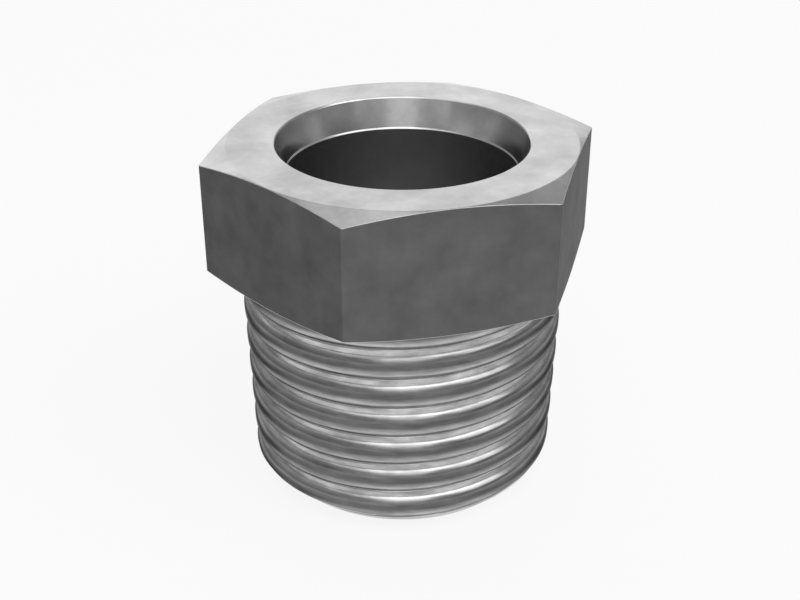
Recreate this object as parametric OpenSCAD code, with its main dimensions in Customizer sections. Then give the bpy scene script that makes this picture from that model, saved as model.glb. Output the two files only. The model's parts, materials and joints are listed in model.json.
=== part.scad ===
// Straight adapter: a hexagon head and a taper-threaded shank, turned in one piece round a through bore.
// Millimetres. The origin is the centre of the threaded end's face, and +Z points up to the head.

/* [Head] */
// Width across the flats of the hexagon
hex_af = 14; // [13.8:0.1:18]
// Height of the head, from its underside to its top face
head_h = 5.15; // [3:0.05:9]
// Angle of the chamfers on the head's corners, measured from the flat faces
corner_angle = 15; // [8:1:30]
// How far inside the flats the top chamfer starts
top_inset = 0.025; // [0.01:0.005:0.5]
// Width of the flat ring that is left on the underside, round the shank
seat_w = 0.1; // [0.05:0.01:0.2]

/* [Shank] */
// Length of the shank, from the threaded end to the underside of the head
shank_l = 9.45; // [7:0.05:16]
// Diameter over the crests of the taper thread, on its gauge plane
gauge_d = 13.157; // [12.6:0.001:13.3]
// Distance of the gauge plane from the threaded end
gauge_l = 6; // [3:0.1:9]
// Length in which the diameter grows by one
taper_length = 16; // [12:1:30]
// Width of the chamfer on the threaded end, at 45 degrees
end_chamfer = 0.935; // [0.6:0.005:1.2]

/* [Thread] */
// Distance from one crest to the next
pitch = 1.337; // [1.15:0.001:1.5]
// Angle between the two flanks of a groove
flank_angle = 55; // [50:1:62]
// Depth of a groove below the crests
thread_depth = 0.42; // [0.3:0.01:0.6]
// Radius of the round edges between a crest's flat land and the flanks
crest_r = 0.45; // [0.2:0.01:0.55]
// Radius in the bottom of a groove
root_r = 0.08; // [0.05:0.01:0.15]
// Length under the head in which the grooves run out
runout_l = 0.6; // [0.3:0.05:2]
// Where the groove starts round the threaded end, in degrees from +X
thread_start = 100; // [0:5:355]

/* [Bore] */
// Diameter of the through bore
bore_d = 9.35; // [6:0.05:10]
// Depth of the cone that leads into the bore from the top face
lead_depth = 1.27; // [0.5:0.01:2.5]
// Angle of that cone's wall from the axis
lead_angle = 15; // [5:1:20]
// Width of the small step between the cone and the bore
step_w = 0.05; // [0.02:0.01:0.2]
// Height of that step
step_h = 0.05; // [0.02:0.01:0.3]
// Width of the broken edges at both mouths of the bore, at 45 degrees
edge_break = 0.05; // [0.02:0.01:0.2]

/* [Hidden] */
steel = "#8e8f90";

// Facets of the thread: steps in one turn, and steps in the arc of a crest's edge
turn_steps = 60;
crest_steps = 3;
// How far solids run past a face that they are joined to or cut
past = 0.5;
// Steps in a turned surface, for display
round_steps = 144;

total_h = shank_l + head_h;
hex_corner_r = hex_af / 2 / cos(30);

// The arcs of crest and root meet straight flanks that stand half_angle off a plane across the axis.
// What arcs and flanks leave of the pitch is the crest's flat land
half_angle = flank_angle / 2;
arc_angle = 90 - half_angle;
flank_depth = thread_depth - (crest_r + root_r) * (1 - cos(arc_angle));
groove_half_w = (crest_r + root_r) * sin(arc_angle) + flank_depth * tan(half_angle);

// One groove from its root to the next, as [distance from the root, depth below the crests]
root_half = [
    [0, thread_depth],
    [root_r * sin(arc_angle), thread_depth - root_r * (1 - cos(arc_angle))]
];
crest_half = [
    for (i = [crest_steps : -1 : 0])
        let (a = arc_angle * i / crest_steps)
            [groove_half_w - crest_r * sin(a), crest_r * (1 - cos(a))]
];
half_groove = concat(root_half, crest_half);
groove = concat(
    half_groove,
    [for (i = [len(half_groove) - 1 : -1 : 1]) [pitch - half_groove[i][0], half_groove[i][1]]]
);
pitch_rows = len(groove);

// The thread's own solid runs past both ends of the shank, and its rows climb round it with the groove
thread_low = -past;
thread_top = shank_l + past;
first_turn = floor(thread_low / pitch) - 1;
last_turn = ceil(thread_top / pitch) + 1;
row_count = pitch_rows * (last_turn - first_turn) + 1;

// Radius of the cone over the crests at height z
function crest_cone(z) = (gauge_d + (z - gauge_l) / taper_length) / 2;

// Share of the full depth that a groove has at height z
function groove_share(z) = max(0, min(1, (shank_l - z) / runout_l));

// Height of a row at a step round the turn
function row_height(step, row) =
    groove[row % pitch_rows][0]
    + pitch * (first_turn + floor(row / pitch_rows) + step / turn_steps - thread_start / 360);

function row_point(step, row) =
    let (
        z = row_height(step, row),
        r = crest_cone(z) - groove_share(z) * groove[row % pitch_rows][1],
        a = 360 * step / turn_steps
    )
        [r * cos(a), r * sin(a), z];

function ring_point(step, z) =
    let (a = 360 * step / turn_steps)
        [crest_cone(z) * cos(a), crest_cone(z) * sin(a), z];

// Number of a point in the list: the low ring, the top ring, then each step's rows. Rows beyond a flat
// end, or so close to it that they would leave slivers, share that end's ring
snap = pitch / pitch_rows / 3;
function point_number(step, row) =
    let (z = row_height(step, row), column = step % turn_steps)
        z < thread_low + snap ? column
        : z > thread_top - snap ? turn_steps + column
        : step == turn_steps ? point_number(0, row + pitch_rows)
        : 2 * turn_steps + column * row_count + row;

// A triangle, or nothing where two of its corners are one point
function triangle(a, b, c) = a == b || b == c || a == c ? [] : [[a, b, c]];

// Taper thread with flat lands between its grooves
module thread() {
    points = concat(
        [for (step = [0 : turn_steps - 1]) ring_point(step, thread_low)],
        [for (step = [0 : turn_steps - 1]) ring_point(step, thread_top)],
        [for (step = [0 : turn_steps - 1], row = [0 : row_count - 1]) row_point(step, row)]
    );
    sides = [
        for (step = [0 : turn_steps - 1], row = [0 : row_count - 2])
            let (
                a = point_number(step, row),
                b = point_number(step + 1, row),
                c = point_number(step + 1, row + 1),
                d = point_number(step, row + 1)
            )
                each concat(triangle(a, c, b), triangle(a, d, c))
    ];
    ends = [
        [for (step = [0 : turn_steps - 1]) step],
        [for (step = [turn_steps - 1 : -1 : 0]) turn_steps + step]
    ];
    polyhedron(points = points, faces = concat(sides, ends));
}

// The shank: the thread, cut square and chamfered at its end
module threaded_shank() {
    wide_r = crest_cone(thread_top) + past;
    end_r = crest_cone(0) - end_chamfer;
    intersection() {
        thread();
        rotate_extrude($fn = round_steps)
            polygon([[0, 0], [end_r, 0], [wide_r, wide_r - end_r], [wide_r, thread_top], [0, thread_top]]);
    }
}

// The head: a hexagonal prism with its corners chamfered from above and below
module head() {
    rise = tan(corner_angle);
    seat_r = crest_cone(shank_l) + seat_w;
    top_r = hex_af / 2 - top_inset;
    wide_r = hex_corner_r + past;
    intersection() {
        translate([0, 0, shank_l])
            cylinder(r = hex_corner_r, h = head_h, $fn = 6);
        rotate_extrude($fn = round_steps)
            polygon([
                [0, shank_l],
                [seat_r, shank_l],
                [wide_r, shank_l + (wide_r - seat_r) * rise],
                [wide_r, total_h - (wide_r - top_r) * rise],
                [top_r, total_h],
                [0, total_h]
            ]);
    }
}

// What the bore takes away: the hole, its lead-in cone with the step under it, and the broken edges
module bore_cut() {
    bore_r = bore_d / 2;
    step_r = bore_r + step_w;
    step_z = total_h - lead_depth;
    mouth_r = step_r + (lead_depth - edge_break) * tan(lead_angle);
    rotate_extrude($fn = round_steps)
        polygon([
            [0, -past],
            [bore_r + edge_break + past, -past],
            [bore_r, edge_break],
            [bore_r, step_z - step_h],
            [step_r, step_z],
            [mouth_r, total_h - edge_break],
            [mouth_r + edge_break + past, total_h + past],
            [0, total_h + past]
        ]);
}

module adapter_body() {
    color(steel)
        difference() {
            union() {
                head();
                threaded_shank();
            }
            bore_cut();
        }
}

adapter_body();
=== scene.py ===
"""Looks of a straight adapter: a hexagon head and a taper-threaded shank, turned in one piece from steel bar.

Lengths in this file are metres. The maker's sizes are written in millimetres, times MM.
"""

import json
import logging
import math
from dataclasses import dataclass
from enum import IntEnum

import bpy
import numpy as np
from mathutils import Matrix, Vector


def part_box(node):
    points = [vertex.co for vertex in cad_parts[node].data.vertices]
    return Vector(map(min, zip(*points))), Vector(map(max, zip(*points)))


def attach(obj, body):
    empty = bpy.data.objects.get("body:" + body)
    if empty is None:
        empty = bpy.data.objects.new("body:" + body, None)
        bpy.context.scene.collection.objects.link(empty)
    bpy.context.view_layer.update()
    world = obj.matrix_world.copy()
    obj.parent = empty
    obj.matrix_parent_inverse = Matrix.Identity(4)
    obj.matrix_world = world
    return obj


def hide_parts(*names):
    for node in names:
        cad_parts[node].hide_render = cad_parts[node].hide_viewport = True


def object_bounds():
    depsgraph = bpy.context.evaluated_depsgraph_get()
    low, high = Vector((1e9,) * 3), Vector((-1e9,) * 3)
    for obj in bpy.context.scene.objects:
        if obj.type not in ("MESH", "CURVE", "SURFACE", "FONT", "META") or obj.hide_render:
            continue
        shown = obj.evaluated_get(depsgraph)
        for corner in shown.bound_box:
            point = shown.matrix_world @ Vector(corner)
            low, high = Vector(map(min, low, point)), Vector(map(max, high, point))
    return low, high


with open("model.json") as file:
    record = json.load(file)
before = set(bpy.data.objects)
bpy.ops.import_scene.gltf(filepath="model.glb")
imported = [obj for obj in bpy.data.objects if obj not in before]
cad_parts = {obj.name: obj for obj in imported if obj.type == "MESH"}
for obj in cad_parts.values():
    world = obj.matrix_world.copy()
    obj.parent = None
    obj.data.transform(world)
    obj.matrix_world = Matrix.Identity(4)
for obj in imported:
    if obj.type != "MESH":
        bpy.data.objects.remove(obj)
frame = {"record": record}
cad_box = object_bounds()

MM = 0.001
NODE = "adapter_body"
BODY = "root"
PIECE = "turned_adapter_body"
HEXAGON_SIDES = 6

# The mesh's attributes: the thread's painted light and shade, the painted shade of each flat, and the points
# to be cut
PAINTED_THREAD_LIGHT = "groove"
PAINTED_FLAT_SHADE = "painted_flat_shade"
SHANK = "shank"

# The clouds' noise, and the range of it that holds nearly all of the surface
CLOUD_DETAIL = 4.0
CLOUD_ROUGHNESS = 0.6
THIN_CLOUD = 0.25
DENSE_CLOUD = 0.75

log = logging.getLogger("adapter")


class Skin(IntEnum):
    """The skins that the steel shows, numbered as the mesh's material slots.

    CUT is the slot that the thread's cutter adds after the body's own four.
    """

    DRAWN = 0
    TURNED = 1
    BORED = 2
    LEAD = 3
    CUT = 4


def linear(colour: str) -> tuple[float, float, float, float]:
    """Turns an sRGB hex colour to linear light.

    Args:
        colour: six hex digits, such as "8e8f90".

    Returns:
        Red, green, blue and an alpha of 1.
    """
    shares = [int(colour[i : i + 2], 16) / 255 for i in (0, 2, 4)]
    light = [c / 12.92 if c <= 0.04045 else ((c + 0.055) / 1.055) ** 2.4 for c in shares]
    return (*light, 1.0)


def add_node(tree: bpy.types.NodeTree, kind: str, settings: dict, inputs: dict) -> bpy.types.Node:
    """Adds a node to a tree.

    Args:
        tree: a shader's or a geometry tree.
        kind: the node's type name.
        settings: the node's own properties, by name.
        inputs: a value, or an output socket to link from, by the input's name or number.

    Returns:
        The new node.
    """
    node = tree.nodes.new(kind)
    for name, value in settings.items():
        setattr(node, name, value)
    for key, value in inputs.items():
        if isinstance(value, bpy.types.NodeSocket):
            tree.links.new(value, node.inputs[key])
        else:
            node.inputs[key].default_value = value
    return node


@dataclass(frozen=True)
class SteelFinish:
    """One skin of the steel, as a metal with a cloudy mottle and, where it was turned, fine tool marks.

    Attributes:
        name: the material's name.
        colour: sRGB hex of the skin between the clouds.
        tone: share by which the clouds lighten and darken it.
        roughness: mean roughness.
        rough_share: how far the clouds move the roughness.
        cloud: width of one cloud.
        cloud_height: height of the waves under the clouds, which bend reflections a little.
        stretch: how many times longer the clouds are round the axis than along it.
        edge_tint: sRGB hex of the share that is left of the reflection at a grazing angle.
        second_colour: sRGB hex where the attribute second_by is 1, or nothing where there is one colour.
        second_by: the mesh's attribute that mixes the two colours.
        feed: spacing of the tool marks, or 0 where there are none.
        feed_height: depth of the tool marks.
    """

    name: str
    colour: str
    tone: float
    roughness: float
    rough_share: float
    cloud: float
    cloud_height: float
    stretch: float = 1.0
    edge_tint: str = "ffffff"
    second_colour: str = ""
    second_by: str = ""
    feed: float = 0.0
    feed_height: float = 0.0

    def material(self) -> bpy.types.Material:
        """Builds the finish as a node material on Object coordinates.

        Returns:
            The material.
        """
        made = bpy.data.materials.new(self.name)
        made.use_nodes = True
        tree = made.node_tree
        tree.nodes.clear()
        place = add_node(tree, "ShaderNodeTexCoord", {}, {}).outputs["Object"]
        drawn_out = add_node(
            tree, "ShaderNodeMapping", {}, {"Vector": place, "Scale": (1.0, 1.0, self.stretch)}
        ).outputs["Vector"]
        clouds = add_node(
            tree,
            "ShaderNodeTexNoise",
            {},
            {
                "Vector": drawn_out,
                "Scale": 1 / self.cloud,
                "Detail": CLOUD_DETAIL,
                "Roughness": CLOUD_ROUGHNESS,
            },
        ).outputs["Fac"]
        colour = self.mottle(tree, clouds, self.colour)
        if self.second_colour:
            share = add_node(
                tree, "ShaderNodeAttribute", {"attribute_name": self.second_by}, {}
            ).outputs["Fac"]
            second = self.mottle(tree, clouds, self.second_colour)
            # Of this node's sockets, 6 and 7 take colours, and output 2 gives the mixed one
            colour = add_node(
                tree, "ShaderNodeMix", {"data_type": "RGBA"}, {0: share, 6: colour, 7: second}
            ).outputs[2]
        rough = add_node(
            tree,
            "ShaderNodeMapRange",
            {},
            {
                "Value": clouds,
                "From Min": THIN_CLOUD,
                "From Max": DENSE_CLOUD,
                "To Min": self.roughness + self.rough_share,
                "To Max": self.roughness - self.rough_share,
            },
        ).outputs["Result"]
        normal = add_node(
            tree,
            "ShaderNodeBump",
            {},
            {"Height": clouds, "Distance": self.cloud_height, "Strength": 1.0},
        ).outputs["Normal"]
        if self.feed:
            normal = add_node(
                tree,
                "ShaderNodeBump",
                {},
                {
                    "Height": self.tool_marks(tree, place),
                    "Distance": self.feed_height,
                    "Strength": 1.0,
                    "Normal": normal,
                },
            ).outputs["Normal"]
        steel = add_node(
            tree,
            "ShaderNodeBsdfPrincipled",
            {},
            {
                "Base Color": colour,
                "Metallic": 1.0,
                "Roughness": rough,
                "Specular Tint": linear(self.edge_tint),
                "Normal": normal,
            },
        ).outputs["BSDF"]
        add_node(tree, "ShaderNodeOutputMaterial", {}, {"Surface": steel})
        return made

    def mottle(
        self, tree: bpy.types.NodeTree, clouds: bpy.types.NodeSocket, middle: str
    ) -> bpy.types.NodeSocket:
        """Spreads the clouds round a colour.

        Args:
            tree: the material's nodes.
            clouds: how dense the cloud is, about 0.5 on average.
            middle: sRGB hex of the colour between the clouds.

        Returns:
            The mottled colour.
        """
        ramp = add_node(tree, "ShaderNodeValToRGB", {}, {"Fac": clouds})
        ends = ((THIN_CLOUD, 1 - self.tone), (DENSE_CLOUD, 1 + self.tone))
        for element, (place, share) in zip(ramp.color_ramp.elements, ends):
            element.position = place
            element.color = [c * share for c in linear(middle)[:3]] + [1.0]
        return ramp.outputs["Color"]

    def tool_marks(self, tree: bpy.types.NodeTree, place: bpy.types.NodeSocket) -> bpy.types.NodeSocket:
        """Rings that a lathe tool leaves, along the outline of whatever it turned.

        Args:
            tree: the material's nodes.
            place: the Object coordinates.

        Returns:
            A wave from -1 to 1, whose crests lie one feed apart.
        """
        split = add_node(tree, "ShaderNodeSeparateXYZ", {}, {"Vector": place}).outputs
        flat = add_node(tree, "ShaderNodeCombineXYZ", {}, {"X": split["X"], "Y": split["Y"]}).outputs[0]
        out = add_node(tree, "ShaderNodeVectorMath", {"operation": "LENGTH"}, {0: flat}).outputs["Value"]
        along = add_node(
            tree, "ShaderNodeMath", {"operation": "SUBTRACT"}, {0: out, 1: split["Z"]}
        ).outputs[0]
        turns = add_node(
            tree, "ShaderNodeMath", {"operation": "MULTIPLY"}, {0: along, 1: math.tau / self.feed}
        ).outputs[0]
        return add_node(tree, "ShaderNodeMath", {"operation": "SINE"}, {0: turns}).outputs[0]


# Cold-drawn bar: a dull dark grey skin, left on the flats of the hexagon. Each flat is mixed towards the
# second colour by its own share: painted shade on the three flats that face the camera, lighter or darker as
# light falls on each, and a random grey on the other three
DRAWN_BAR = SteelFinish(
    name="drawn_bar_steel",
    colour="5a5a5a",
    tone=0.18,
    roughness=0.4,
    rough_share=0.02,
    cloud=1.4 * MM,
    cloud_height=0.004 * MM,
    edge_tint="b4b4b4",
    second_colour="656565",
    second_by=PAINTED_FLAT_SHADE,
)
# Turned steel: bright and a little cloudy, with rings from the tool's feed that show only close up
TURNED_STEEL = SteelFinish(
    name="turned_steel",
    colour="d7d7d7",
    tone=0.24,
    roughness=0.22,
    rough_share=0.03,
    cloud=2.2 * MM,
    cloud_height=0.01 * MM,
    feed=0.12 * MM,
    feed_height=0.0002 * MM,
)
# Reamed bore: duller than the turned faces
REAMED_BORE = SteelFinish(
    name="reamed_bore_steel",
    colour="a2a2a2",
    tone=0.2,
    roughness=0.34,
    rough_share=0.03,
    cloud=3.0 * MM,
    cloud_height=0.01 * MM,
)
# Reamed lead-in cone: as smooth as the turned faces, and a little darker
REAMED_LEAD = SteelFinish(
    name="reamed_lead_steel",
    colour="bebebe",
    tone=0.24,
    roughness=0.22,
    rough_share=0.03,
    cloud=2.2 * MM,
    cloud_height=0.01 * MM,
)
# Chamfer and face of the threaded end: turned fast and coarse, so they are darker and duller than the
# head's faces
CHAMFERED_END = SteelFinish(
    name="chamfered_end_steel",
    colour="b2b2b2",
    tone=0.24,
    roughness=0.28,
    rough_share=0.03,
    cloud=2.2 * MM,
    cloud_height=0.01 * MM,
)
# Die-cut thread: down to the bright depth the steel is painted brighter the deeper the cut, partly as cut
# steel is brighter than the bar and partly as a painted highlight on the groove's flanks. The lands between
# the grooves are dull like the bar, with a painted highlight on their lower sides, painted shade in each
# root, and painted light on the edge to the end chamfer. The clouds are drawn out round the axis, the way the
# die turned
CUT_THREAD = SteelFinish(
    name="cut_thread_steel",
    colour="666666",
    tone=0.36,
    roughness=0.24,
    rough_share=0.03,
    cloud=1.6 * MM,
    cloud_height=0.008 * MM,
    stretch=6.0,
    edge_tint="8e8e8e",
    second_colour="dadada",
    second_by=PAINTED_THREAD_LIGHT,
)


@dataclass(frozen=True)
class Bend:
    """A corner of the turned outline, rounded by a short curve.

    Attributes:
        radius: distance from the axis, for each column.
        height: height, for each column.
        leg: length that the rounding takes off each side.
        steps: facets of the rounding, or 0 for a ring that isn't rounded.
        after: the skin between this corner and the next.
        flat_after: whether the wall from here to the next corner is the hexagon's.
    """

    radius: np.ndarray
    height: np.ndarray
    leg: float = 0.0
    steps: int = 0
    after: Skin = Skin.TURNED
    flat_after: bool = False


@dataclass
class HexagonHead:
    """The head: hexagon bar with both faces' corners chamfered.

    The edge is the rounding between a flat and a chamfer, and the ring edge that of the flat rings. The
    painted flat shades are the shares of the bar's second colour, from the flat that follows the +X corner.
    On the last three flats, which face the camera, they are painted shade that makes each as dark or light as
    light falls on it; on the first three they differ at random.
    """

    apothem: float
    top: float
    height: float = 5.15 * MM
    chamfer_angle: float = math.radians(15)
    top_inset: float = 0.025 * MM
    seat_width: float = 0.1 * MM
    corner_radius: float = 0.1 * MM
    edge: float = 0.016 * MM
    edge_steps: int = 4
    ring_edge: float = 0.02 * MM
    seat_edge: float = 0.03 * MM
    ring_steps: int = 2
    corner_steps: int = 6
    flat_steps: int = 24
    # Painted shade: the last three flats face the camera and get the greys that light gives them there; the
    # first three are random
    painted_flat_shades: tuple[float, ...] = (0.4, 0.7, 0.2, 0.0, 0.8, 1.0)

    @property
    def underside(self) -> float:
        """Height of the underside's flat ring."""
        return self.top - self.height

    def columns(self) -> tuple[np.ndarray, np.ndarray, np.ndarray]:
        """Spreads the mesh's columns round the axis, close together at the hexagon's corners.

        Returns:
            The columns' angles, the wall's radius there, and the angle that the wall faces there.
        """
        tilt = math.pi / HEXAGON_SIDES
        centre = (self.apothem - self.corner_radius) / math.cos(tilt)
        turn = np.linspace(-tilt, tilt, self.corner_steps + 1)
        x = centre + self.corner_radius * np.cos(turn)
        y = self.corner_radius * np.sin(turn)
        corner_angle = np.arctan2(y, x)
        flat_angle = np.linspace(corner_angle[-1], 2 * tilt + corner_angle[0], self.flat_steps + 1)[1:-1]
        angle = np.concatenate([corner_angle, flat_angle])
        radius = np.concatenate([np.hypot(x, y), self.apothem / np.cos(flat_angle - tilt)])
        facing = np.concatenate([turn, np.full(len(flat_angle), tilt)])
        sides = np.arange(HEXAGON_SIDES)[:, None] * 2 * tilt
        return (sides + angle).ravel(), np.tile(radius, HEXAGON_SIDES), (sides + facing).ravel()

    def bends(self, wall: np.ndarray, neck: float) -> list[Bend]:
        """The head's outline from the shank to the top face.

        Args:
            wall: the hexagon wall's radius, for each column.
            neck: the shank's radius where it meets the head.

        Returns:
            The corners, from the lowest.
        """
        level = np.ones_like(wall)
        rise = math.tan(self.chamfer_angle)
        seat = neck + self.seat_width
        rim = self.apothem - self.top_inset
        low = self.underside + (wall - seat) * rise
        high = self.top - (wall - rim) * rise
        return [
            Bend(neck * level, self.underside * level, self.ring_edge, self.ring_steps),
            Bend(seat * level, self.underside * level, self.seat_edge, self.ring_steps),
            Bend(wall, low, self.edge, self.edge_steps, after=Skin.DRAWN, flat_after=True),
            Bend(wall, high, self.edge, self.edge_steps),
            Bend(rim * level, self.top * level, self.ring_edge, self.ring_steps),
        ]


@dataclass
class ThroughBore:
    """The smooth hole through the adapter, with a cone that leads into it and a small step under the cone."""

    radius: float
    lead_depth: float = 1.27 * MM
    lead_angle: float = math.radians(15)
    step_width: float = 0.05 * MM
    step_height: float = 0.05 * MM
    edge: float = 0.05 * MM
    rounding: float = 0.02 * MM
    rounding_steps: int = 2

    def bends(self, top: float, level: np.ndarray) -> list[Bend]:
        """The bore's outline from the top face down to the threaded end.

        Args:
            top: height of the top face.
            level: an array of ones, one for each column.

        Returns:
            The corners, from the highest.
        """
        step = self.radius + self.step_width
        step_top = top - self.lead_depth
        mouth = step + (self.lead_depth - self.edge) * math.tan(self.lead_angle)
        outline = (
            (mouth + self.edge, top),
            (mouth, top - self.edge),
            (step, step_top),
            (self.radius, step_top - self.step_height),
            (self.radius, self.edge),
            (self.radius + self.edge, 0.0),
        )
        skins = (Skin.TURNED, Skin.LEAD, Skin.TURNED, Skin.BORED, Skin.TURNED, Skin.TURNED)
        return [
            Bend(radius * level, height * level, self.rounding, self.rounding_steps, after=skin)
            for (radius, height), skin in zip(outline, skins)
        ]


@dataclass
class TaperThread:
    """The shank's right-hand taper thread: flat lands with rounded edges, and grooves with round roots.

    The steel is painted fully bright at the bright depth, partly as cut steel and partly as a painted
    highlight, and painted dark in a root over the root shade width on either side: painted shade. A painted
    highlight lies on the lower side of each land, and painted light where the thread meets the end chamfer.
    The margin is what the mesh of the thread leaves at both ends of the shank, and the spare turns are how
    far its rows are counted past them.
    """

    length: float
    gauge_diameter: float = 13.157 * MM
    gauge_length: float = 6.0 * MM
    taper_length: float = 16.0
    pitch: float = 1.337 * MM
    depth: float = 0.42 * MM
    crest_radius: float = 0.45 * MM
    root_radius: float = 0.08 * MM
    half_angle: float = math.radians(27.5)
    runout: float = 0.6 * MM
    start: float = math.radians(100)
    end_chamfer: float = 0.935 * MM
    end_edge: float = 0.03 * MM
    end_steps: int = 3
    edge_blend: float = 0.06 * MM
    # Sizes of the colour that paints light and shade on the thread: a highlight that grows with the cut's
    # depth, painted light at the chamfer's edge, painted shade in the root and a painted highlight on the
    # lands' lower sides
    bright_depth: float = 0.2 * MM
    chamfer_blend: float = 0.03 * MM
    root_shade_width: float = 0.06 * MM
    highlight_width: float = 0.45 * MM
    highlight_share: float = 0.6
    margin: float = 0.05 * MM
    crest_steps: int = 8
    root_steps: int = 3
    spare_turns: int = 2

    @property
    def land_half(self) -> float:
        """Works out how wide a land is from what the flanks and the two arcs leave of the pitch.

        Returns:
            Half the width of a land.
        """
        arcs = self.crest_radius + self.root_radius
        flank = (self.depth - arcs * (1 - math.sin(self.half_angle))) * math.tan(self.half_angle)
        return self.pitch / 2 - arcs * math.cos(self.half_angle) - flank

    @property
    def end_radius(self) -> float:
        """Radius of the threaded end's flat face."""
        return self.cone(0.0) - self.end_chamfer

    @property
    def low(self) -> float:
        """Height where the mesh of the thread starts, just over the rounded edge of the end."""
        return self.margin

    @property
    def high(self) -> float:
        """Height where the mesh of the thread ends, just under the head."""
        return self.length - self.margin

    def cone(self, height: float | np.ndarray) -> float | np.ndarray:
        """Radius of the cone over the crests at a height."""
        return (self.gauge_diameter + (height - self.gauge_length) / self.taper_length) / 2

    def row_places(self) -> np.ndarray:
        """Spreads one pitch's rows of the mesh along the axis, by equal turns of crest and root.

        Returns:
            Distances from the root, from 0 to just under one pitch.
        """
        arc = math.pi / 2 - self.half_angle
        middle = self.pitch / 2
        root = self.root_radius * np.sin(np.linspace(0, arc, self.root_steps + 1))
        crest = self.crest_radius * np.sin(np.linspace(arc, 0, self.crest_steps + 1))
        half = np.concatenate([root, middle - self.land_half - crest, [middle]])
        return np.concatenate([half, self.pitch - half[-2:0:-1]])

    def cutter(self) -> bpy.types.NodeTree:
        """Builds the Geometry Nodes tree that cuts the groove and the end chamfer into a plain shank.

        Returns:
            The tree. Its inputs are the thread's sizes and the finishes of the thread and the chamfer.
        """
        tree = bpy.data.node_groups.new("thread_cutter", "GeometryNodeTree")
        tree.interface.new_socket("Geometry", in_out="INPUT", socket_type="NodeSocketGeometry")
        for name in self.cutter_sizes():
            tree.interface.new_socket(name, in_out="INPUT", socket_type="NodeSocketFloat")
        for name in ("Finish", "Chamfer finish"):
            tree.interface.new_socket(name, in_out="INPUT", socket_type="NodeSocketMaterial")
        tree.interface.new_socket("Geometry", in_out="OUTPUT", socket_type="NodeSocketGeometry")
        given = add_node(tree, "NodeGroupInput", {}, {}).outputs
        place = add_node(tree, "GeometryNodeInputPosition", {}, {}).outputs[0]
        split = add_node(tree, "ShaderNodeSeparateXYZ", {}, {0: place}).outputs
        known = {name: given[name] for name in self.cutter_sizes()}
        known.update({"x": split["X"], "y": split["Y"], "z": split["Z"]})
        for result, operation, *operands in CUTTER_STEPS:
            values = {i: known.get(operand, operand) for i, operand in enumerate(operands)}
            known[result] = add_node(tree, "ShaderNodeMath", {"operation": operation}, values).outputs[0]
        flat = add_node(tree, "ShaderNodeCombineXYZ", {}, {"X": split["X"], "Y": split["Y"]}).outputs[0]
        outward = add_node(tree, "ShaderNodeVectorMath", {"operation": "NORMALIZE"}, {0: flat}).outputs[0]
        reach = add_node(
            tree, "ShaderNodeVectorMath", {"operation": "SCALE"}, {0: outward, "Scale": known["radius"]}
        ).outputs[0]
        lift = add_node(tree, "ShaderNodeCombineXYZ", {}, {"Z": split["Z"]}).outputs[0]
        moved = add_node(tree, "ShaderNodeVectorMath", {"operation": "ADD"}, {0: reach, 1: lift}).outputs[0]
        shank = add_node(
            tree, "GeometryNodeInputNamedAttribute", {"data_type": "BOOLEAN"}, {"Name": SHANK}
        ).outputs["Attribute"]
        # Stores the thread's painted light and shade, which the finish mixes into its colour
        marked = add_node(
            tree,
            "GeometryNodeStoreNamedAttribute",
            {"data_type": "FLOAT", "domain": "POINT"},
            {"Geometry": given["Geometry"], "Selection": shank, "Name": PAINTED_THREAD_LIGHT, "Value": known["bright"]},
        ).outputs[0]
        cut = add_node(
            tree,
            "GeometryNodeSetPosition",
            {},
            {"Geometry": marked, "Selection": shank, "Position": moved},
        ).outputs[0]
        real = add_node(tree, "GeometryNodeRealizeInstances", {}, {"Geometry": cut}).outputs[0]
        dressed = add_node(
            tree,
            "GeometryNodeSetMaterial",
            {},
            {"Geometry": real, "Selection": shank, "Material": given["Finish"]},
        ).outputs[0]
        # The end's chamfer and face are where the plain thread would stand out past the chamfer's cone
        turned = add_node(
            tree,
            "ShaderNodeMath",
            {"operation": "GREATER_THAN"},
            {0: known["chamfered"], 1: given["Edge blend"]},
        ).outputs[0]
        finished = add_node(
            tree,
            "GeometryNodeSetMaterial",
            {},
            {"Geometry": dressed, "Selection": turned, "Material": given["Chamfer finish"]},
        ).outputs[0]
        add_node(tree, "NodeGroupOutput", {}, {0: finished})
        return tree

    def cutter_sizes(self) -> dict[str, float]:
        """The cutter's inputs by name."""
        return {
            "Gauge diameter": self.gauge_diameter,
            "Gauge length": self.gauge_length,
            "Taper length": self.taper_length,
            "Pitch": self.pitch,
            "Root radius": self.root_radius,
            "Crest radius": self.crest_radius,
            "Land half": self.land_half,
            "Half angle": self.half_angle,
            "Start angle": self.start,
            "Groove end": self.high,
            "Run-out": self.runout,
            "End radius": self.end_radius,
            "Edge blend": self.edge_blend,
            "Bright depth": self.bright_depth,
            "Chamfer blend": self.chamfer_blend,
            "Root shade width": self.root_shade_width,
            "Painted highlight width": self.highlight_width,
            "Painted highlight share": self.highlight_share,
        }
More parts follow.
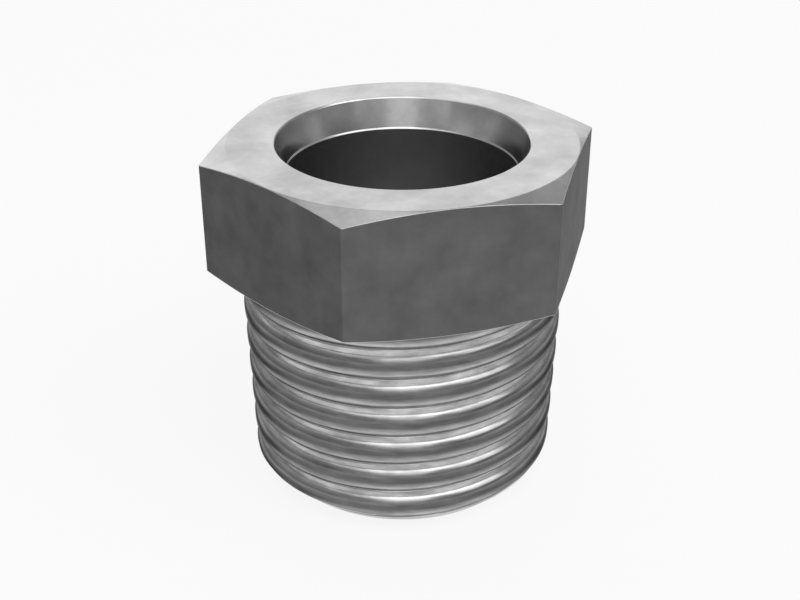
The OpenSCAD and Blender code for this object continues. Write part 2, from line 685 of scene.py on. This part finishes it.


# How the cutter finds the radius of a point on the shank and then the painted light and shade of the steel
# there, as result, operation and operands. An operand is an input, a result from above or a number. The depth
# is summed from the crest's arc, the straight flank and the root's arc, each of which stops growing where the
# next begins
CUTTER_STEPS = (
    ("angle", "ARCTAN2", "y", "x"),
    ("angle from start", "SUBTRACT", "angle", "Start angle"),
    ("turns", "DIVIDE", "angle from start", math.tau),
    ("climb", "MULTIPLY", "turns", "Pitch"),
    ("along", "SUBTRACT", "z", "climb"),
    ("half pitch", "MULTIPLY", "Pitch", 0.5),
    ("from root", "PINGPONG", "along", "half pitch"),
    ("from crest", "SUBTRACT", "half pitch", "from root"),
    ("cosine", "COSINE", "Half angle"),
    ("sine", "SINE", "Half angle"),
    ("tangent", "TANGENT", "Half angle"),
    ("crest reach", "MULTIPLY", "Crest radius", "cosine"),
    ("beyond land", "SUBTRACT", "from crest", "Land half"),
    ("past land", "MAXIMUM", "beyond land", 0.0),
    ("on crest", "MINIMUM", "past land", "crest reach"),
    ("on crest squared", "MULTIPLY", "on crest", "on crest"),
    ("crest radius squared", "MULTIPLY", "Crest radius", "Crest radius"),
    ("crest rest", "SUBTRACT", "crest radius squared", "on crest squared"),
    ("crest chord", "SQRT", "crest rest"),
    ("crest drop", "SUBTRACT", "Crest radius", "crest chord"),
    ("root reach", "MULTIPLY", "Root radius", "cosine"),
    ("flank foot", "SUBTRACT", "half pitch", "root reach"),
    ("up to foot", "MINIMUM", "from crest", "flank foot"),
    ("crest end", "ADD", "Land half", "crest reach"),
    ("beyond crest", "SUBTRACT", "up to foot", "crest end"),
    ("on flank", "MAXIMUM", "beyond crest", 0.0),
    ("flank drop", "DIVIDE", "on flank", "tangent"),
    ("on root", "MINIMUM", "from root", "root reach"),
    ("on root squared", "MULTIPLY", "on root", "on root"),
    ("root radius squared", "MULTIPLY", "Root radius", "Root radius"),
    ("root rest", "SUBTRACT", "root radius squared", "on root squared"),
    ("root chord", "SQRT", "root rest"),
    ("root lip", "MULTIPLY", "Root radius", "sine"),
    ("root drop", "SUBTRACT", "root chord", "root lip"),
    ("crest and flank", "ADD", "crest drop", "flank drop"),
    ("full depth", "ADD", "crest and flank", "root drop"),
    ("left to go", "SUBTRACT", "Groove end", "z"),
    ("left share", "DIVIDE", "left to go", "Run-out"),
    ("at most all", "MINIMUM", "left share", 1.0),
    ("share", "MAXIMUM", "at most all", 0.0),
    ("depth", "MULTIPLY", "full depth", "share"),
    ("above gauge", "SUBTRACT", "z", "Gauge length"),
    ("widening", "DIVIDE", "above gauge", "Taper length"),
    ("crest diameter", "ADD", "Gauge diameter", "widening"),
    ("cone", "MULTIPLY", "crest diameter", 0.5),
    ("thread radius", "SUBTRACT", "cone", "depth"),
    ("chamfer radius", "ADD", "End radius", "z"),
    ("radius", "SMOOTH_MIN", "thread radius", "chamfer radius", "Edge blend"),
    ("cut away", "SUBTRACT", "cone", "thread radius"),
    # Painted light and shade from here on: brighter with the cut's depth (partly the cut steel's own, partly
    # a painted highlight), a painted highlight on each land's lower side, painted shade in the root, and
    # painted light where the chamfer cuts the thread
    ("cut share", "DIVIDE", "cut away", "Bright depth"),
    ("above root", "WRAP", "along", "Pitch", 0.0),
    ("below middle", "SUBTRACT", "half pitch", "above root"),
    ("highlight rise", "DIVIDE", "below middle", "Painted highlight width"),
    ("painted highlight", "MINIMUM", "highlight rise", "Painted highlight share"),
    ("cut or painted highlight", "MAXIMUM", "cut share", "painted highlight"),
    ("root shade rise", "DIVIDE", "from root", "Root shade width"),
    ("clear of root shade", "MINIMUM", "cut or painted highlight", "root shade rise"),
    ("chamfered", "SUBTRACT", "thread radius", "chamfer radius"),
    ("chamfer light rise", "DIVIDE", "chamfered", "Chamfer blend"),
    ("brightest", "MAXIMUM", "clear of root shade", "chamfer light rise"),
    ("bright most", "MINIMUM", "brightest", 1.0),
    ("bright", "MAXIMUM", "bright most", 0.0),
)


class AdapterBody:
    """The whole adapter, as one closed mesh whose rings and rows share their columns.

    Attributes:
        longest_leg: the most that one rounding may take of a side, as a share.
        snap_share: how near to an end ring a row joins it, as a share of the closest rows' distance.
    """

    longest_leg: float = 0.45
    snap_share: float = 1 / 3

    def __init__(self) -> None:
        """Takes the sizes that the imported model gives, and leaves the others as the classes name them."""
        low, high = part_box(NODE)
        bore = next(m for m in frame["record"]["mounts"] if m["name"] == "bore")
        self.head = HexagonHead(apothem=high.y, top=high.z)
        self.bore = ThroughBore(radius=bore["dims"]["r_mm"] * MM)
        self.thread = TaperThread(length=self.head.underside)
        self.angle, self.wall, self.facing = self.head.columns()
        self.skins = [finish.material() for finish in (DRAWN_BAR, TURNED_STEEL, REAMED_BORE, REAMED_LEAD)]
        self.points: list[np.ndarray] = []
        self.normals: list[np.ndarray] = []
        self.ring_count = 0

    def outline(self) -> list[Bend]:
        """Every corner of the outline, from the top of the thread over the head and down the bore.

        Returns:
            The corners. The first and last are the rings that the thread's rows join.
        """
        level = np.ones_like(self.angle)
        thread = self.thread
        above = Bend(thread.cone(thread.high) * level, thread.high * level, after=Skin.CUT)
        below = Bend((thread.end_radius + thread.low) * level, thread.low * level)
        end = Bend(thread.end_radius * level, 0.0 * level, thread.end_edge, thread.end_steps)
        neck = thread.cone(thread.length)
        return [
            above,
            *self.head.bends(self.wall, neck),
            *self.bore.bends(self.head.top, level),
            end,
            below,
        ]

    def side_normal(self, first: Bend, second: Bend) -> np.ndarray:
        """The outward direction of the surface between two corners.

        Args:
            first: the earlier corner.
            second: the later corner.

        Returns:
            One unit vector for each column.
        """
        if first.flat_after:
            return np.stack([np.cos(self.facing), np.sin(self.facing), 0 * self.facing], axis=1)
        out = second.radius - first.radius
        up = second.height - first.height
        size = np.hypot(out, up)
        return np.stack([np.cos(self.angle) * up, np.sin(self.angle) * up, -out], axis=1) / size[:, None]

    def add_ring(self, radius: np.ndarray, height: np.ndarray, normal: np.ndarray) -> None:
        """Adds a ring of points, one for each column.

        Args:
            radius: distance of each point from the axis.
            height: height of each point.
            normal: outward direction at each point, of any length.
        """
        x, y = radius * np.cos(self.angle), radius * np.sin(self.angle)
        self.points.append(np.stack([x, y, height], axis=1))
        self.normals.append(normal / np.linalg.norm(normal, axis=1, keepdims=True))

    def add_outline(self) -> list[Skin]:
        """Adds the rings of the whole outline, each corner rounded by a quadratic curve.

        Returns:
            The skin of each band between one ring and the next.
        """
        bends = self.outline()
        skins = []
        for i, bend in enumerate(bends):
            before = self.side_normal(bends[i - 1], bend) if i else self.side_normal(bend, bends[1])
            after = self.side_normal(bend, bends[i + 1]) if i + 1 < len(bends) else before
            if not bend.steps:
                self.add_ring(bend.radius, bend.height, before + after)
                skins.append(bend.after)
                continue
            place = np.stack([bend.radius, bend.height])
            back = np.stack([bends[i - 1].radius, bends[i - 1].height]) - place
            ahead = np.stack([bends[i + 1].radius, bends[i + 1].height]) - place
            back_size, ahead_size = np.hypot(*back), np.hypot(*ahead)
            leg = np.minimum(bend.leg, self.longest_leg * np.minimum(back_size, ahead_size))
            start = place + back / back_size * leg
            finish = place + ahead / ahead_size * leg
            for t in np.linspace(0, 1, bend.steps + 1):
                curve = (1 - t) ** 2 * start + 2 * t * (1 - t) * place + t**2 * finish
                self.add_ring(*curve, (1 - t) * before + t * after)
                skins.append(bend.after if t == 1 else Skin.TURNED)
        self.ring_count = len(self.points)
        return skins

    def mesh(self) -> bpy.types.Mesh:
        """Builds the blank: the whole body with a plain cone where the thread will be cut.

        Returns:
            The mesh, with the attribute SHANK on the points that the cutter may move.
        """
        skins = self.add_outline()
        columns = len(self.angle)
        faces, materials = [], []
        for ring in range(self.ring_count - 1):
            for column in range(columns):
                beside = (column + 1) % columns
                low, high = ring * columns, (ring + 1) * columns
                faces.append((low + column, low + beside, high + beside, high + column))
                materials.append(skins[ring])
        rows, row_faces = self.thread_rows()
        points = np.concatenate([*self.points, rows])
        faces += row_faces
        materials += [Skin.TURNED] * len(row_faces)
        made = bpy.data.meshes.new(PIECE)
        made.from_pydata(points.tolist(), [], faces)
        for material in self.skins:
            made.materials.append(material)
        made.polygons.foreach_set("material_index", np.array(materials, np.int32))
        made.polygons.foreach_set("use_smooth", np.ones(len(faces), bool))
        # Painted shade of each flat, as the share of the bar's second colour on its faces
        flat_shades = np.zeros(len(faces))
        flat_shades[: (self.ring_count - 1) * columns] = np.tile(self.painted_flat_shades(), self.ring_count - 1)
        made.attributes.new(PAINTED_FLAT_SHADE, "FLOAT", "FACE").data.foreach_set("value", flat_shades)
        ends = np.zeros(self.ring_count * columns, bool)
        ends[:columns] = True
        ends[-columns:] = True
        shank = np.concatenate([ends, np.ones(len(rows), bool)])
        made.attributes.new(SHANK, "BOOLEAN", "POINT").data.foreach_set("value", shank)
        return made

    def painted_flat_shades(self) -> np.ndarray:
        """The painted shade of the flat that each column's faces lie on."""
        return np.repeat(self.head.painted_flat_shades, len(self.angle) // HEXAGON_SIDES)

    def thread_rows(self) -> tuple[np.ndarray, list[tuple[int, ...]]]:
        """Lays rows on the shank that climb with the groove, and joins them to the rings at both ends.

        Returns:
            The rows' points and the faces over the whole shank.
        """
        thread = self.thread
        places = thread.row_places()
        columns = len(self.angle)
        snap = np.diff(places).min() * self.snap_share
        first = -thread.spare_turns * len(places)
        last = (math.ceil(thread.length / thread.pitch) + thread.spare_turns) * len(places)
        below_ring = (self.ring_count - 1) * columns
        numbers: dict[tuple[int, int], int] = {}
        points: list[tuple[float, float, float]] = []

        def number(column: int, row: int) -> int:
            """Numbers a point of the rows, and makes it if it is new.

            Args:
                column: the column that it lies on.
                row: the row that it lies on, counted from the groove's root.

            Returns:
                Its place in the mesh's list. A row beyond an end shares the ring there.
            """
            if column == columns:
                return number(0, row + len(places))
            turn = (self.angle[column] - thread.start) / math.tau
            height = places[row % len(places)] + thread.pitch * (row // len(places) + turn)
            if height < thread.low + snap:
                return below_ring + column
            if height > thread.high - snap:
                return column
            if (column, row) not in numbers:
                numbers[column, row] = self.ring_count * columns + len(points)
                radius = thread.cone(height)
                angle = self.angle[column]
                points.append((radius * math.cos(angle), radius * math.sin(angle), height))
            return numbers[column, row]

        faces = []
        for column in range(columns):
            for row in range(first, last):
                corners = (
                    number(column, row),
                    number(column + 1, row),
                    number(column + 1, row + 1),
                    number(column, row + 1),
                )
                face = tuple(dict.fromkeys(corners))
                if len(face) > 2:
                    faces.append(face)
        return np.array(points), faces

    def build(self) -> bpy.types.Object:
        """Cuts the thread, sets the normals and makes the finished piece.

        Returns:
            The piece, a plain mesh at the origin.
        """
        piece = bpy.data.objects.new(PIECE, self.mesh())
        bpy.context.scene.collection.objects.link(piece)
        tree = self.thread.cutter()
        cutter = piece.modifiers.new("thread_cutter", "NODES")
        cutter.node_group = tree
        values = {
            **self.thread.cutter_sizes(),
            "Finish": CUT_THREAD.material(),
            "Chamfer finish": CHAMFERED_END.material(),
        }
        for item in tree.interface.items_tree:
            if item.in_out == "INPUT" and item.name in values:
                cutter[item.identifier] = values[item.name]
        seen = piece.evaluated_get(bpy.context.evaluated_depsgraph_get())
        made = bpy.data.meshes.new_from_object(seen)
        made.name = PIECE
        piece.modifiers.clear()
        piece.data = made
        made.normals_split_custom_set_from_vertices(self.true_normals(made).tolist())
        return piece

    def true_normals(self, made: bpy.types.Mesh) -> np.ndarray:
        """Normals for every point: the outline's own, and the cut thread's turned square to the axis.

        Args:
            made: the mesh with its thread cut.

        Returns:
            One unit vector for each point.
        """
        normals = np.zeros(len(made.vertices) * 3, np.float32)
        made.vertex_normals.foreach_get("vector", normals)
        normals = normals.reshape(-1, 3)
        places = np.zeros(len(made.vertices) * 3, np.float32)
        made.vertices.foreach_get("co", places)
        places = places.reshape(-1, 3)
        outward = places[:, :2] / np.linalg.norm(places[:, :2], axis=1, keepdims=True)
        size = np.linalg.norm(normals[:, :2], axis=1, keepdims=True)
        normals[:, :2] = outward * size
        columns = len(self.angle)
        known = np.concatenate(self.normals)
        normals[columns : len(known) - columns] = known[columns:-columns]
        return normals


@dataclass(frozen=True)
class Softbox:
    """A square of even light that faces the adapter.

    Attributes:
        name: the lamp's name.
        azimuth: where it stands, in degrees from +X.
        elevation: its height above the horizon, in degrees.
        distance: from the adapter.
        width: across.
        height: up and down.
        radiance: how bright it looks, where a white card in plain light is 1.
    """

    name: str
    azimuth: float
    elevation: float
    distance: float
    width: float
    height: float
    radiance: float

    def build(self, aim: Vector) -> None:
        """Hangs the lamp.

        Args:
            aim: the point that it faces.
        """
        lamp = bpy.data.lights.new(self.name, "AREA")
        lamp.shape = "RECTANGLE"
        lamp.size, lamp.size_y = self.width, self.height
        lamp.energy = self.radiance * math.pi * self.width * self.height
        piece = bpy.data.objects.new(self.name, lamp)
        turn, lift = math.radians(self.azimuth), math.radians(self.elevation)
        away = Vector((math.cos(turn) * math.cos(lift), math.sin(turn) * math.cos(lift), math.sin(lift)))
        piece.location = aim + away * self.distance
        piece.rotation_euler = away.to_track_quat("Z", "Y").to_euler()
        bpy.context.scene.collection.objects.link(piece)


@dataclass
class Studio:
    """The pale floor, the lamps, the plain light all round, and the camera.

    The floor glow is the share of its white that doesn't depend on the lamps, for the eye and in
    reflections. The clip is the camera's nearest and farthest distance.
    """

    centre: Vector
    floor_radius: float = 1.5
    floor_colour: str = "fafafa"
    floor_glow: float = 0.86
    floor_gap: float = 0.005 * MM
    floor_sides: int = 96
    sky_colour: str = "949494"
    camera_place: tuple[float, float, float] = (-12.067 * MM, -45.081 * MM, 32.443 * MM)
    camera_aim: tuple[float, float, float] = (-0.092 * MM, 0.025 * MM, 7.352 * MM)
    lens: float = 56.335
    sensor: float = 36.0
    clip: tuple[float, float] = (1 * MM, 10.0)
    # Name, azimuth, elevation, distance, width, height and radiance
    lamps: tuple[Softbox, ...] = (
        Softbox("overhead_softbox", 262, 86, 0.4, 0.56, 0.56, 0.5),
        Softbox("front_softbox", 258, 50, 0.4, 0.26, 0.34, 1.05),
        Softbox("right_softbox", 318, 44, 0.4, 0.28, 0.3, 1.15),
        Softbox("wide_low_softbox", 255, 14, 0.4, 0.8, 0.2, 0.22),
        Softbox("low_front_softbox", 255, 14, 0.36, 0.18, 0.18, 0.42),
        Softbox("back_softbox", 80, 19, 0.4, 0.34, 0.25, 0.58),
        Softbox("left_back_softbox", 101, 20, 0.4, 0.16, 0.22, 0.1),
        Softbox("high_back_softbox", 92, 56, 0.4, 0.16, 0.14, 0.35),
    )

    def build(self) -> None:
        """Sets up everything that isn't the adapter."""
        self.build_floor()
        for lamp in self.lamps:
            lamp.build(self.centre)
        self.build_sky()
        self.build_camera()
        view = bpy.context.scene.view_settings
        view.view_transform = "Standard"

    def build_floor(self) -> None:
        """Lays the floor just under the adapter."""
        turns = [math.tau * side / self.floor_sides for side in range(self.floor_sides)]
        reach, height = self.floor_radius, -self.floor_gap
        edge = [(reach * math.cos(turn), reach * math.sin(turn), height) for turn in turns]
        made = bpy.data.meshes.new("floor")
        made.from_pydata(edge, [], [range(self.floor_sides)])
        made.materials.append(self.floor_material())
        floor = bpy.data.objects.new("floor", made)
        bpy.context.scene.collection.objects.link(floor)

    def floor_material(self) -> bpy.types.Material:
        """Matt white board. To the eye and in reflections, most of its white doesn't depend on the lamps.

        Returns:
            The material.
        """
        board = bpy.data.materials.new("matt_board")
        board.use_nodes = True
        tree = board.node_tree
        tree.nodes.clear()
        matt = add_node(tree, "ShaderNodeBsdfDiffuse", {}, {"Color": linear(self.floor_colour)}).outputs[0]
        white = add_node(tree, "ShaderNodeEmission", {}, {"Strength": 1.0}).outputs[0]
        path = add_node(tree, "ShaderNodeLightPath", {}, {}).outputs
        seen = add_node(
            tree,
            "ShaderNodeMath",
            {"operation": "ADD"},
            {0: path["Is Camera Ray"], 1: path["Is Glossy Ray"]},
        ).outputs[0]
        seen = add_node(
            tree, "ShaderNodeMath", {"operation": "ADD"}, {0: seen, 1: path["Is Transmission Ray"]}
        ).outputs[0]
        share = add_node(
            tree,
            "ShaderNodeMath",
            {"operation": "MULTIPLY", "use_clamp": True},
            {0: seen, 1: self.floor_glow},
        ).outputs[0]
        mixed = add_node(tree, "ShaderNodeMixShader", {}, {"Fac": share, 1: matt, 2: white}).outputs[0]
        add_node(tree, "ShaderNodeOutputMaterial", {}, {"Surface": mixed})
        return board

    def build_sky(self) -> None:
        """Fills the rest of the studio with plain grey light."""
        world = bpy.data.worlds.new("studio")
        world.use_nodes = True
        world.node_tree.nodes.clear()
        glow = add_node(
            world.node_tree,
            "ShaderNodeBackground",
            {},
            {"Color": linear(self.sky_colour), "Strength": 1.0},
        ).outputs[0]
        add_node(world.node_tree, "ShaderNodeOutputWorld", {}, {"Surface": glow})
        bpy.context.scene.world = world

    def build_camera(self) -> None:
        """Puts the camera where the photograph was taken from."""
        camera = bpy.data.cameras.new("camera")
        camera.lens = self.lens
        camera.sensor_width = self.sensor
        camera.clip_start, camera.clip_end = self.clip
        piece = bpy.data.objects.new("camera", camera)
        place, aim = Vector(self.camera_place), Vector(self.camera_aim)
        piece.location = place
        piece.rotation_euler = (aim - place).to_track_quat("-Z", "Y").to_euler()
        bpy.context.scene.collection.objects.link(piece)
        bpy.context.scene.camera = piece


def main() -> None:
    """Builds the adapter and its studio."""
    logging.basicConfig(level=logging.INFO)
    adapter = AdapterBody()
    piece = adapter.build()
    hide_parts(NODE)
    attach(piece, BODY)
    log.info("%s: %d faces", piece.name, len(piece.data.polygons))
    low, high = cad_box
    Studio(centre=(low + high) / 2).build()


if __name__ == "__main__":
    main()
